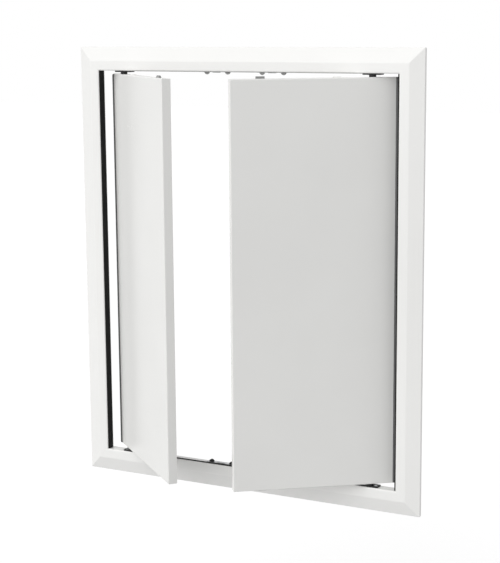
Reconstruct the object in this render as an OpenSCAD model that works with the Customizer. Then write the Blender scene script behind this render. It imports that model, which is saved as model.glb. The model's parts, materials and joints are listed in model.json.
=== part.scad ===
// Access panel for a wall or ceiling: a bevelled frame with a collar that goes into the
// cut-out, and two pivoted leaves that meet in the middle and snap into the head and the sill.
// The panel stands in XZ with +Z up, and its front faces -Y.
// The origin is the centre of the cut-out, in the plane of the wall.

/* [Cut-out] */
// Width of the cut-out in the wall
cutout_w = 500; // [440:10:700]
// Height of the cut-out in the wall
cutout_h = 600; // [440:10:900]

/* [Frame] */
// Lap of the bezel over the wall, past the edge of the cut-out
bezel_lap = 18; // [14:1:26]
// Play between the collar and the cut-out on each side
collar_play = 2; // [1:0.5:4]
// Width of the flat face inside the bevel
flat_w = 14; // [13:0.5:20]
// Height of the bezel's outer edge off the wall
bezel_edge_h = 5; // [4:0.5:8]
// Rise of the bevel from the outer edge to the flat face
bevel_rise = 6.5; // [4:0.5:9]
// Wall thickness of the frame members
frame_wall = 2.5; // [2:0.1:3]
// Depth of the collar behind the wall plane
collar_depth = 22; // [20:1:60]
// Radius of the lip where the flat face turns into the jamb
lip_r = 2; // [1:0.25:3]
// Radius of the bezel's outer corners
corner_r = 1.5; // [1:0.5:6]
// Run of the jamb behind the closed leaf
jamb_past = 3.5; // [2.5:0.5:6]
// Length of each leg of a corner key
key_l = 62; // [45:1:90]

/* [Fixing holes] */
// Diameter of the fixing holes in the collar
fixing_d = 4.5; // [3.5:0.5:6]
// Distance between the two fixing holes of the head or of the sill
fixing_span_x = 300; // [200:10:340]
// Distance between the two fixing holes of a stile
fixing_span_z = 400; // [200:10:400]
// Distance of the fixing holes from the rear edge of the collar
fixing_inset = 9; // [7:0.5:12]

/* [Leaves] */
// Thickness of a leaf
leaf_t = 13; // [12:0.5:16]
// Thickness of the leaf's face and of its rim
leaf_wall = 2.5; // [2:0.1:3]
// Gap between the leaf and the jamb on the hinge side
hinge_gap = 5; // [4.5:0.5:8]
// Gap between the two closed leaves
meeting_gap = 3; // [2:0.5:5]
// Gap between a leaf and the head, and between a leaf and the sill
edge_gap = 5; // [4.5:0.25:6]
// Distance of the pivot from the leaf's hinge edge
pivot_inset = 35; // [28:1:45]
// Radius of the bead that forms the front edge on the hinge side
bead_r = 4.5; // [3:0.25:5]
// Radius of the other front edges
face_edge_r = 1.5; // [0.5:0.25:2]
// Distance of the rub pads on the leaf's edges from the pivot
pad_back = 48; // [40:1:56]
// Length of a rub pad
pad_l = 12; // [8:0.5:14]
// Height of a rub pad
pad_h = 1.2; // [0.8:0.1:1.6]
// Thickness of the ribs behind the face
rib_t = 1.8; // [1.2:0.1:2.4]
// Setback of the ribs from the rear edge of the rim
rib_setback = 1.5; // [0.5:0.25:3]
// Widest cell between two ribs
rib_cell = 56; // [45:1:60]
// Opening angle of the left leaf as shown
left_open = 41; // [0:1:95]
// Opening angle of the right leaf as shown
right_open = 37; // [0:1:95]

/* [Pivots] */
// Diameter of the pivot pins
pin_d = 6; // [4:0.5:6.5]
// Depth of a pin in the leaf
pin_in_leaf = 30; // [20:1:45]
// Radial running clearance of a pin in its bearing
pin_run = 0.06; // [0.03:0.01:0.1]
// Radial clearance of a fixed pin, rivet or screw in its hole
fixed_fit = 0.05; // [0.02:0.01:0.1]
// Wall of the pin boss in the leaf
boss_wall = 2.2; // [1.8:0.1:2.5]
// Length of a bearing along the head
bearing_l = 26; // [25:1:44]
// Depth of a bearing
bearing_w = 12; // [11:0.25:13]
// Thickness of a bearing's foot plate
bearing_plate_t = 2; // [1.75:0.05:2.25]
// Wall of the bearing spigot
spigot_wall = 1.8; // [1.4:0.1:2.4]
// Thrust clearance between a bearing and the leaf
thrust_gap = 0.3; // [0.2:0.05:0.5]
// Distance of the bearing screws from the pin
screw_pitch = 8.75; // [8:0.25:9.5]
// Diameter of the bearing screws
screw_d = 2.5; // [2:0.25:3]

/* [Seals] */
// Depth of the grooves that hold the seals
seal_groove = 1; // [0.6:0.1:1.2]
// Thickness of the jamb seals
jamb_seal_t = 3.5; // [3:0.1:4]
// Width of the jamb seals, from front to rear
jamb_seal_w = 10; // [8:0.25:12]
// Thickness of the head and sill seals
edge_seal_t = 1.4; // [1.3:0.1:1.8]
// Width of the head and sill seals, from front to rear
edge_seal_w = 5.5; // [3:0.25:6]

/* [Catches] */
// Distance of a catch from the middle of the panel
catch_x = 43.5; // [36:0.5:70]
// Distance between the two rivets of a catch clip
rivet_pitch = 33; // [28:0.5:44]
// Diameter of a rivet's dome head
rivet_head_d = 8; // [6:0.25:8.5]
// Diameter of a rivet's shank
rivet_d = 4; // [3:0.25:4.5]
// Thickness of the spring strip of a catch clip
clip_t = 0.8; // [0.5:0.1:1]
// Length of a strike on the leaf's edge
strike_l = 12; // [8:0.5:16]
// Width of a strike across the leaf's edge
strike_w = 4.4; // [3.5:0.1:5]
// Clearance of a passing strike under the seal and the clip
strike_pass = 0.4; // [0.3:0.05:0.6]
// Clearance of the rivet heads from the leaf
rivet_pass = 0.8; // [0.5:0.1:1.5]

/* [Hidden] */
$fn = 64;

WHITE = [0.93, 0.94, 0.94];
BLACK = [0.06, 0.06, 0.06];
GREY = [0.5, 0.51, 0.51];
STEEL = [0.35, 0.36, 0.37];
LEFT = -1;
RIGHT = 1;
TOP = 1;
BOTTOM = -1;
SIDES = [LEFT, RIGHT];
// Overshoot of a cutting tool past the face that it cuts
cut = 1;

// Frame outline and cross-section, measured inwards from the outer edge
outer_w = cutout_w + 2 * bezel_lap;
outer_h = cutout_h + 2 * bezel_lap;
collar_in = bezel_lap + collar_play;
bevel_w = collar_in;
border = bevel_w + flat_w;
front_h = bezel_edge_h + bevel_rise;
front_y = -front_h;
jamb_rear_y = front_y + leaf_t + jamb_past;
bevel_angle = atan2(bevel_rise, bevel_w);
edge_inner_h = bezel_edge_h + frame_wall * (tan(bevel_angle) - 1 / cos(bevel_angle));
open_half_w = outer_w / 2 - border;
open_half_h = outer_h / 2 - border;

// Corner keys lie in the channel behind the bevel
key_play = 0.3;
key_t = edge_inner_h - key_play;

// Leaves, in the closed pose
leaf_free_x = meeting_gap / 2;
leaf_hinge_x = open_half_w - hinge_gap;
leaf_w = leaf_hinge_x - leaf_free_x;
leaf_half_h = open_half_h - edge_gap;
leaf_inner_w = leaf_w - 2 * leaf_wall;
leaf_inner_h = 2 * (leaf_half_h - leaf_wall);
leaf_rear_y = front_y + leaf_t;
pivot_x = leaf_hinge_x - pivot_inset;
pivot_y = front_y + leaf_t / 2;
boss_d = pin_d + 2 * boss_wall;
boss_l = pin_in_leaf + boss_wall;
rib_depth = leaf_t - leaf_wall - rib_setback;
rib_cols = ceil(leaf_w / rib_cell);
rib_rows = ceil(2 * leaf_half_h / rib_cell);
pad_x = pivot_x - pad_back;
pad_w = leaf_t / 2;

// What sits on the head and the sill, measured from the jamb face towards the leaf
seat_play = 0.2;
seat_front_y = front_y + lip_r + seat_play;
bearing_t = edge_gap - thrust_gap;
spigot_d = pin_d + 2 * (pin_run + spigot_wall);
screw_bite = 4;
screw_head_d = 1.9 * screw_d;
screw_head_h = (screw_head_d - screw_d) / 2;
screw_l = bearing_plate_t + frame_wall + screw_bite;

// Catches
part_gap = 0.4;
edge_seal_l = 2 * (pivot_x - bearing_l / 2 - part_gap);
jamb_seal_l = 2 * (open_half_h - part_gap);
clip_front_y = seat_front_y + edge_seal_w + part_gap;
clip_w = jamb_rear_y - part_gap - clip_front_y;
rivet_y = clip_front_y + clip_w / 2;
clip_end = 6.5;
clip_l = rivet_pitch + 2 * clip_end;
bump_drop = 0.8;
bump_r = 1.5;
bump_y = clip_front_y + bump_r;
rivet_head_h = edge_gap - clip_t - rivet_pass;
rivet_tail_h = 1.2;
rivet_tail_d = 1.5 * rivet_d;
strike_h = edge_gap - clip_t - bump_drop - strike_pass;
strike_base = leaf_wall;
strike_rear = 0.6;
strike_y = leaf_rear_y - strike_rear - strike_w / 2;

// A child drawn in the top right quadrant, mirrored to the given side and end
module at_corner(side, end) {
    mirror([side == LEFT ? 1 : 0, 0, 0])
        mirror([0, 0, end == BOTTOM ? 1 : 0])
            children();
}

// A child drawn on the closed right leaf, swung open on the given side
module on_leaf(side, end = TOP) {
    angle = side == LEFT ? left_open : right_open;
    mirror([side == LEFT ? 1 : 0, 0, 0])
        translate([pivot_x, pivot_y, 0])
            rotate([0, 0, angle])
                translate([-pivot_x, -pivot_y, 0])
                    mirror([0, 0, end == BOTTOM ? 1 : 0])
                        children();
}

// A flat shape in the XZ plane, extruded from y_low to y_high
module plate_y(y_low, y_high) {
    translate([0, y_high, 0])
        rotate([90, 0, 0])
            linear_extrude(height = y_high - y_low)
                children();
}

// A section drawn as depth and height, extruded along X about the middle
module bar_x(length) {
    rotate([90, 0, 90])
        linear_extrude(height = length, center = true)
            children();
}

// A rectangle about the origin with round corners
module round_rectangle(w, h, r) {
    square([w, h - 2 * r], center = true);
    square([w - 2 * r, h], center = true);
    for (x = [-1, 1], y = [-1, 1])
        translate([x * (w / 2 - r), y * (h / 2 - r)])
            circle(r = r);
}

// The waste outside a round corner whose sides run along +x and +y
module corner_waste(r) {
    difference() {
        translate([-cut, -cut])
            square(r + cut);
        translate([r, r])
            circle(r = r);
    }
}

// Section of a frame member: depth along x, and the way in from the outer edge along -y
module member_section() {
    difference() {
        union() {
            polygon([
                [0, 0],
                [-bezel_edge_h, 0],
                [front_y, -bevel_w],
                [front_y, -border],
                [jamb_rear_y, -border],
                [jamb_rear_y, frame_wall - border],
                [front_y + frame_wall, frame_wall - border],
                [front_y + frame_wall, -bevel_w],
                [-edge_inner_h, -frame_wall],
                [0, -frame_wall]
            ]);
            translate([front_y + frame_wall / 2, -collar_in - frame_wall])
                square([collar_depth - front_y - frame_wall / 2, frame_wall]);
        }
        translate([front_y, -border])
            corner_waste(lip_r);
    }
}

// A mitred member along X, with its outer edge at height half
module mitred_member(length, half) {
    reach = border + cut;
    intersection() {
        translate([0, 0, half])
            bar_x(length)
                member_section();
        plate_y(front_y - cut, collar_depth + cut)
            intersection() {
                round_rectangle(length, 2 * half, corner_r);
                polygon([
                    [-length / 2, half],
                    [length / 2, half],
                    [length / 2 - reach, half - reach],
                    [reach - length / 2, half - reach]
                ]);
            }
    }
}

// Fixing holes through the collar of a member whose outer edge is at height half
module fixing_holes(span, half) {
    for (x = [-span / 2, span / 2])
        translate([x, collar_depth - fixing_inset, half - collar_in - frame_wall - cut])
            cylinder(d = fixing_d, h = frame_wall + 2 * cut);
}

// Groove for a seal in the jamb of a member whose jamb face is at height half
module groove_space(length, w, half) {
    translate([-length / 2, seat_front_y, half - cut])
        cube([length, w, seal_groove + cut]);
}

// Holes in the head's jamb for the bearings and the catch rivets
module jamb_holes() {
    hole_h = frame_wall + 2 * cut;
    for (side = SIDES)
        translate([0, 0, open_half_h - cut]) {
            translate([side * pivot_x, pivot_y, 0])
                cylinder(d = spigot_d + 2 * fixed_fit, h = hole_h);
            for (x = [-screw_pitch, screw_pitch])
                translate([side * pivot_x + x, pivot_y, 0])
                    cylinder(d = screw_d + 2 * fixed_fit, h = hole_h);
            for (x = [-rivet_pitch / 2, rivet_pitch / 2])
                translate([side * catch_x + x, rivet_y, 0])
                    cylinder(d = rivet_d + 2 * fixed_fit, h = hole_h);
        }
}

module frame_rail(end) {
    color(WHITE)
        at_corner(RIGHT, end)
            difference() {
                mitred_member(outer_w, outer_h / 2);
                fixing_holes(fixing_span_x, outer_h / 2);
                groove_space(edge_seal_l, edge_seal_w, open_half_h);
                jamb_holes();
            }
}

module frame_stile(side) {
    color(WHITE)
        at_corner(side, TOP)
            rotate([0, 90, 0])
                difference() {
                    mitred_member(outer_h, outer_w / 2);
                    fixing_holes(fixing_span_z, outer_w / 2);
                    groove_space(jamb_seal_l, jamb_seal_w, open_half_w);
                }
}

// Flat L-shaped key that ties two members together behind the bevel
module corner_key(side, end) {
    key_w = collar_in - frame_wall;
    x = outer_w / 2 - frame_wall;
    z = outer_h / 2 - frame_wall;
    color(BLACK)
        at_corner(side, end)
            plate_y(-key_t, 0)
                union() {
                    translate([x - key_l, z - key_w])
                        square([key_l, key_w]);
                    translate([x - key_w, z - key_l])
                        square([key_w, key_l]);
                }
}

// Section of a flat seal on its seat: depth along x, thickness along -y, round free corners
module seal_section(w, t) {
    r = (t - seal_groove) / 2;
    difference() {
        translate([0, -t])
            square([w, t]);
        translate([0, -t])
            corner_waste(r);
        translate([w, -t])
            mirror([1, 0])
                corner_waste(r);
    }
}

module edge_seal(end) {
    color(BLACK)
        at_corner(RIGHT, end)
            translate([0, seat_front_y, open_half_h + seal_groove])
                bar_x(edge_seal_l)
                    seal_section(edge_seal_w, edge_seal_t);
}

module jamb_seal(side) {
    color(BLACK)
        at_corner(side, TOP)
            rotate([0, 90, 0])
                translate([0, seat_front_y, open_half_w + seal_groove])
                    bar_x(jamb_seal_l)
                        seal_section(jamb_seal_w, jamb_seal_t);
}

// Bearing on the head's jamb: a foot plate, and a spigot that is let into the jamb
module pivot_bearing(side, end) {
    color(BLACK)
        at_corner(side, end)
            difference() {
                union() {
                    translate([pivot_x - bearing_l / 2, seat_front_y, open_half_h - bearing_plate_t])
                        cube([bearing_l, bearing_w, bearing_plate_t]);
                    translate([pivot_x, pivot_y, open_half_h - bearing_t])
                        cylinder(d = spigot_d, h = bearing_t + frame_wall);
                }
                translate([pivot_x, pivot_y, open_half_h - bearing_t - cut])
                    cylinder(d = pin_d + 2 * pin_run, h = bearing_t + frame_wall + 2 * cut);
                for (x = [-screw_pitch, screw_pitch])
                    translate([pivot_x + x, pivot_y, open_half_h - bearing_plate_t])
                        screw_space();
            }
}

// Countersunk hole for a bearing screw, with its mouth at z = 0
module screw_space() {
    translate([0, 0, -cut])
        cylinder(d = screw_d + 2 * fixed_fit, h = bearing_plate_t + 2 * cut);
    cylinder(d1 = screw_head_d + 2 * fixed_fit, d2 = screw_d + 2 * fixed_fit, h = screw_head_h);
}

module bearing_screw() {
    cylinder(d = screw_d, h = screw_l);
    cylinder(d1 = screw_head_d, d2 = screw_d, h = screw_head_h);
}

module bearing_screws() {
    color(STEEL)
        for (side = SIDES, end = [TOP, BOTTOM], x = [-screw_pitch, screw_pitch])
            at_corner(side, end)
                translate([pivot_x + x, pivot_y, open_half_h - bearing_plate_t])
                    bearing_screw();
}

// Spring strip under two rivets, with a half-round bump in front of the strike
module catch_clip(side, end) {
    color(STEEL)
        at_corner(side, end)
            difference() {
                union() {
                    translate([catch_x - clip_l / 2, clip_front_y, open_half_h - clip_t])
                        cube([clip_l, clip_w, clip_t]);
                    intersection() {
                        translate([catch_x, bump_y, open_half_h - clip_t - bump_drop + bump_r])
                            rotate([0, 90, 0])
                                cylinder(r = bump_r, h = strike_l, center = true);
                        translate([catch_x - strike_l, clip_front_y, open_half_h - clip_t - bump_r])
                            cube([2 * strike_l, clip_w, bump_r + clip_t / 2]);
                    }
                }
                for (x = [-rivet_pitch / 2, rivet_pitch / 2])
                    translate([catch_x + x, rivet_y, open_half_h - clip_t - cut])
                        cylinder(d = rivet_d + 2 * fixed_fit, h = clip_t + 2 * cut);
            }
}

// Dome-head rivet that hangs from the clip's face at z = 0
module catch_rivet() {
    dome_r = (rivet_head_d * rivet_head_d / 4 + rivet_head_h * rivet_head_h) / (2 * rivet_head_h);
    shank_h = clip_t + frame_wall;
    rotate_extrude()
        intersection() {
            translate([0, dome_r - rivet_head_h])
                circle(r = dome_r);
            translate([0, -rivet_head_h])
                square([rivet_head_d, rivet_head_h]);
        }
    cylinder(d = rivet_d, h = shank_h);
    translate([0, 0, shank_h])
        cylinder(d = rivet_tail_d, h = rivet_tail_h);
}

module catch_rivets(end) {
    color(BLACK)
        for (side = SIDES, x = [-rivet_pitch / 2, rivet_pitch / 2])
            at_corner(side, end)
                translate([catch_x + x, rivet_y, open_half_h - clip_t])
                    catch_rivet();
}

// Outer form of the closed right leaf, with its front edges rounded
module leaf_form() {
    intersection() {
        translate([0, 0, -leaf_half_h])
            linear_extrude(height = 2 * leaf_half_h)
                difference() {
                    translate([leaf_free_x, front_y])
                        square([leaf_w, leaf_t]);
                    translate([leaf_free_x, front_y])
                        corner_waste(face_edge_r);
                    translate([leaf_hinge_x, front_y])
                        mirror([1, 0])
                            corner_waste(bead_r);
                }
        bar_x(2 * outer_w)
            difference() {
                translate([front_y, -leaf_half_h])
                    square([leaf_t, 2 * leaf_half_h]);
                translate([front_y, -leaf_half_h])
                    corner_waste(face_edge_r);
                translate([front_y, leaf_half_h])
                    mirror([0, 1])
                        corner_waste(face_edge_r);
            }
    }
}

// Space that the bead takes up along the hinge edge
module bead_space() {
    translate([leaf_hinge_x - bead_r, front_y - cut, -leaf_half_h - cut])
        cube([bead_r + cut, bead_r + cut, 2 * (leaf_half_h + cut)]);
}

// Hollow behind the face, stepped round the bead on the hinge edge
module leaf_hollow() {
    translate([0, 0, leaf_wall - leaf_half_h])
        linear_extrude(height = leaf_inner_h)
            difference() {
                translate([leaf_free_x + leaf_wall, front_y + leaf_wall])
                    square([leaf_inner_w, leaf_t]);
                translate([leaf_hinge_x - leaf_wall - bead_r, front_y + leaf_wall - cut])
                    square([bead_r + cut, bead_r + cut]);
            }
}

// Ribs that stiffen the face from behind
module leaf_ribs() {
    x = leaf_free_x + leaf_wall;
    y = front_y + leaf_wall / 2;
    z = leaf_wall - leaf_half_h;
    depth = leaf_wall / 2 + rib_depth;
    for (i = [1 : rib_cols - 1])
        translate([x + leaf_inner_w * i / rib_cols - rib_t / 2, y, z - leaf_wall / 2])
            cube([rib_t, depth, leaf_inner_h + leaf_wall]);
    for (i = [1 : rib_rows - 1])
        translate([x - leaf_wall / 2, y, z + leaf_inner_h * i / rib_rows - rib_t / 2])
            cube([leaf_inner_w + leaf_wall, depth, rib_t]);
}

// Low pad on the leaf's edge, with sloping ends
module rub_pad() {
    translate([pad_x, pivot_y, leaf_half_h])
        rotate([90, 0, 0])
            linear_extrude(height = pad_w, center = true)
                polygon([
                    [-pad_l / 2, -leaf_wall / 2],
                    [pad_l / 2, -leaf_wall / 2],
                    [pad_l / 2, 0],
                    [pad_l / 2 - pad_h, pad_h],
                    [pad_h - pad_l / 2, pad_h],
                    [-pad_l / 2, 0]
                ]);
}

// Pocket in the leaf's edge for the foot of a strike
module strike_pocket() {
    translate([catch_x - strike_l / 2, strike_y - strike_w / 2, leaf_half_h - strike_base])
        cube([strike_l, strike_w, strike_base + cut]);
}

// Moulded leaf: face, rim, ribs, and a boss and a rub pad at each end
module leaf_panel(side) {
    color(WHITE)
        on_leaf(side)
            difference() {
                union() {
                    difference() {
                        leaf_form();
                        leaf_hollow();
                    }
                    leaf_ribs();
                    for (end = [TOP, BOTTOM])
                        at_corner(RIGHT, end) {
                            translate([pivot_x, pivot_y, leaf_half_h - boss_l])
                                cylinder(d = boss_d, h = boss_l - leaf_wall / 2);
                            rub_pad();
                        }
                }
                bead_space();
                for (end = [TOP, BOTTOM])
                    at_corner(RIGHT, end) {
                        translate([pivot_x, pivot_y, leaf_half_h - pin_in_leaf])
                            cylinder(d = pin_d + 2 * fixed_fit, h = pin_in_leaf + cut);
                        strike_pocket();
                    }
            }
}

// Soft bead that forms the leaf's front edge on the hinge side
module leaf_edge_bead(side) {
    color(BLACK)
        on_leaf(side)
            intersection() {
                leaf_form();
                bead_space();
            }
}

module leaf_pin(side, end) {
    color(STEEL)
        on_leaf(side, end)
            translate([pivot_x, pivot_y, leaf_half_h - pin_in_leaf])
                cylinder(d = pin_d, h = pin_in_leaf + edge_gap + frame_wall);
}

// Double-ramp strike on the leaf's edge, with its foot in the rim
module leaf_strike(side, end) {
    flat = strike_w / 4;
    color(GREY)
        on_leaf(side, end)
            translate([catch_x, strike_y, leaf_half_h])
                bar_x(strike_l)
                    polygon([
                        [-strike_w / 2, -strike_base],
                        [strike_w / 2, -strike_base],
                        [strike_w / 2, 0],
                        [flat / 2, strike_h],
                        [-flat / 2, strike_h],
                        [-strike_w / 2, 0]
                    ]);
}

frame_rail(TOP);  // frame_head
frame_rail(BOTTOM);  // frame_sill
frame_stile(LEFT);  // frame_left_stile
frame_stile(RIGHT);  // frame_right_stile
corner_key(LEFT, TOP);  // corner_key_top_left
corner_key(RIGHT, TOP);  // corner_key_top_right
corner_key(LEFT, BOTTOM);  // corner_key_bottom_left
corner_key(RIGHT, BOTTOM);  // corner_key_bottom_right
edge_seal(TOP);  // head_seal
edge_seal(BOTTOM);  // sill_seal
jamb_seal(LEFT);  // left_jamb_seal
jamb_seal(RIGHT);  // right_jamb_seal
pivot_bearing(LEFT, TOP);  // pivot_bearing_top_left
pivot_bearing(RIGHT, TOP);  // pivot_bearing_top_right
pivot_bearing(LEFT, BOTTOM);  // pivot_bearing_bottom_left
pivot_bearing(RIGHT, BOTTOM);  // pivot_bearing_bottom_right
bearing_screws();
catch_clip(LEFT, TOP);  // catch_clip_top_left
catch_clip(RIGHT, TOP);  // catch_clip_top_right
catch_clip(LEFT, BOTTOM);  // catch_clip_bottom_left
catch_clip(RIGHT, BOTTOM);  // catch_clip_bottom_right
catch_rivets(TOP);  // head_catch_rivets
catch_rivets(BOTTOM);  // sill_catch_rivets
leaf_panel(LEFT);  // left_leaf_panel
leaf_edge_bead(LEFT);  // left_leaf_edge_bead
leaf_pin(LEFT, TOP);  // left_leaf_top_pin
leaf_pin(LEFT, BOTTOM);  // left_leaf_bottom_pin
leaf_strike(LEFT, TOP);  // left_leaf_top_strike
leaf_strike(LEFT, BOTTOM);  // left_leaf_bottom_strike
leaf_panel(RIGHT);  // right_leaf_panel
leaf_edge_bead(RIGHT);  // right_leaf_edge_bead
leaf_pin(RIGHT, TOP);  // right_leaf_top_pin
leaf_pin(RIGHT, BOTTOM);  // right_leaf_bottom_pin
leaf_strike(RIGHT, TOP);  // right_leaf_top_strike
leaf_strike(RIGHT, BOTTOM);  // right_leaf_bottom_strike
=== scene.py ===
"""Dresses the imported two-leaf access panel and sets it in a white studio.

Lengths are in metres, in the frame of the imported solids: the panel stands in XZ, its front faces -Y.
"""

import json
import logging
import math
from collections.abc import Callable
from dataclasses import dataclass, field, replace
from enum import Enum
from functools import cache

import bmesh
import bpy
from mathutils import Matrix, Vector


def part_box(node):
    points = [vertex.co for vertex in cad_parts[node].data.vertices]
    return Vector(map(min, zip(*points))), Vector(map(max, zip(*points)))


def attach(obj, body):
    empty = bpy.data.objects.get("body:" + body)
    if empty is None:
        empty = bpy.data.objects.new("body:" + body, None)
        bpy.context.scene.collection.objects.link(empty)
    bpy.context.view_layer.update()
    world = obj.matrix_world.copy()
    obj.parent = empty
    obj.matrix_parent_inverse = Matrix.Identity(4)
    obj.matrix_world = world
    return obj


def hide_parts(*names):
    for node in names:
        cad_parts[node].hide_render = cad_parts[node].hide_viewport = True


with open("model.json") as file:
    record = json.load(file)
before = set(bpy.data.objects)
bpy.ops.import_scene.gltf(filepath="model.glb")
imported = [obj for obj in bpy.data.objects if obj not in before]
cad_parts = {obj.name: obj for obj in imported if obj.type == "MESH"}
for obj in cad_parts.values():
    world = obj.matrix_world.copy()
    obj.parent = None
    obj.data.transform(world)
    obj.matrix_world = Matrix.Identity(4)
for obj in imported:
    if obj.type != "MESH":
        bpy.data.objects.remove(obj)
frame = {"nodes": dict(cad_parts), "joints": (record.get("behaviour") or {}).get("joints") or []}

LOG = logging.getLogger("access_panel")
MM = 0.001
EDGE_MASK = "edge_round"
FRAME_BODY = "frame"
SPIN_WELD = 0.001 * MM
Color = tuple[float, float, float]
Span = tuple[float, float]


class Slot(Enum):
    """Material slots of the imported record."""

    WHITE_PLASTIC = "white_plastic"
    BLACK_SEAL = "black_seal"
    BLACK_PLASTIC = "black_plastic"
    GREY_PLASTIC = "grey_plastic"
    SPRING_STEEL = "spring_steel"
    PIN_STEEL = "pin_steel"


class Side(Enum):
    """Sides of the panel, as seen from the front."""

    LEFT = "left"
    RIGHT = "right"


class End(Enum):
    """Upper and lower end of the panel."""

    TOP = "top"
    BOTTOM = "bottom"


class NodeSheet:
    """A shader node tree with short ways to add and join its nodes."""

    MIX_FACTOR = 0
    MIX_A = 6
    MIX_B = 7
    MIX_RESULT = 2

    def __init__(self, tree: bpy.types.NodeTree) -> None:
        """Starts an empty sheet in a node tree."""
        self.tree = tree
        tree.nodes.clear()

    def add(self, kind: str, **sockets: object) -> bpy.types.Node:
        """Adds a node and fills its inputs.

        Args:
            kind: the node's type.
            sockets: values or output sockets for the inputs, spaces written as underscores.

        Returns:
            The new node.
        """
        node = self.tree.nodes.new(kind)
        self._fill(node, sockets)
        return node

    def group(self, tree: bpy.types.NodeTree, **sockets: object) -> bpy.types.Node:
        """Places a shared group and fills its inputs.

        Args:
            tree: the group.
            sockets: values or output sockets for the inputs, spaces written as underscores.

        Returns:
            The group node.
        """
        node = self.tree.nodes.new("ShaderNodeGroup")
        node.node_tree = tree
        self._fill(node, sockets)
        return node

    def _fill(self, node: bpy.types.Node, sockets: dict[str, object]) -> None:
        """Feeds a node's inputs by name, with spaces written as underscores."""
        for name, value in sockets.items():
            self.feed(node.inputs[name.replace("_", " ")], value)

    def feed(self, socket: bpy.types.NodeSocket, value: object) -> None:
        """Links an output to an input, or sets the input's value.

        Args:
            socket: the input.
            value: an output socket or a plain value.
        """
        if isinstance(value, bpy.types.NodeSocket):
            self.tree.links.new(value, socket)
        else:
            socket.default_value = value

    def mix(self, factor: object, low: object, high: object) -> bpy.types.NodeSocket:
        """Blends two colours.

        Args:
            factor: share of the second colour.
            low: colour at a factor of 0.
            high: colour at a factor of 1.

        Returns:
            The blended colour.
        """
        node = self.tree.nodes.new("ShaderNodeMix")
        node.data_type = "RGBA"
        self.feed(node.inputs[self.MIX_FACTOR], factor)
        self.feed(node.inputs[self.MIX_A], low)
        self.feed(node.inputs[self.MIX_B], high)
        return node.outputs[self.MIX_RESULT]

    def math(self, operation: str, first: object, second: object) -> bpy.types.NodeSocket:
        """Joins two numbers.

        Args:
            operation: name of the sum.
            first: first number.
            second: second number.

        Returns:
            The result.
        """
        node = self.tree.nodes.new("ShaderNodeMath")
        node.operation = operation
        self.feed(node.inputs[0], first)
        self.feed(node.inputs[1], second)
        return node.outputs["Value"]

    def spread(self, value: object, span: Span, low: object, high: object) -> bpy.types.NodeSocket:
        """Maps a number from one span to another.

        Args:
            value: the number.
            span: the ends of its span.
            low: result at the first end.
            high: result at the other end.

        Returns:
            The mapped number.
        """
        node = self.add("ShaderNodeMapRange", Value=value, From_Min=span[0], From_Max=span[1])
        self.feed(node.inputs["To Min"], low)
        self.feed(node.inputs["To Max"], high)
        return node.outputs["Result"]

    def noise(self, scale: object, detail: float, vector: object) -> bpy.types.NodeSocket:
        """Adds a noise field with so many waves to the metre and octaves, on given coordinates."""
        return self.add("ShaderNodeTexNoise", Scale=scale, Detail=detail, Vector=vector).outputs["Fac"]


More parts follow.
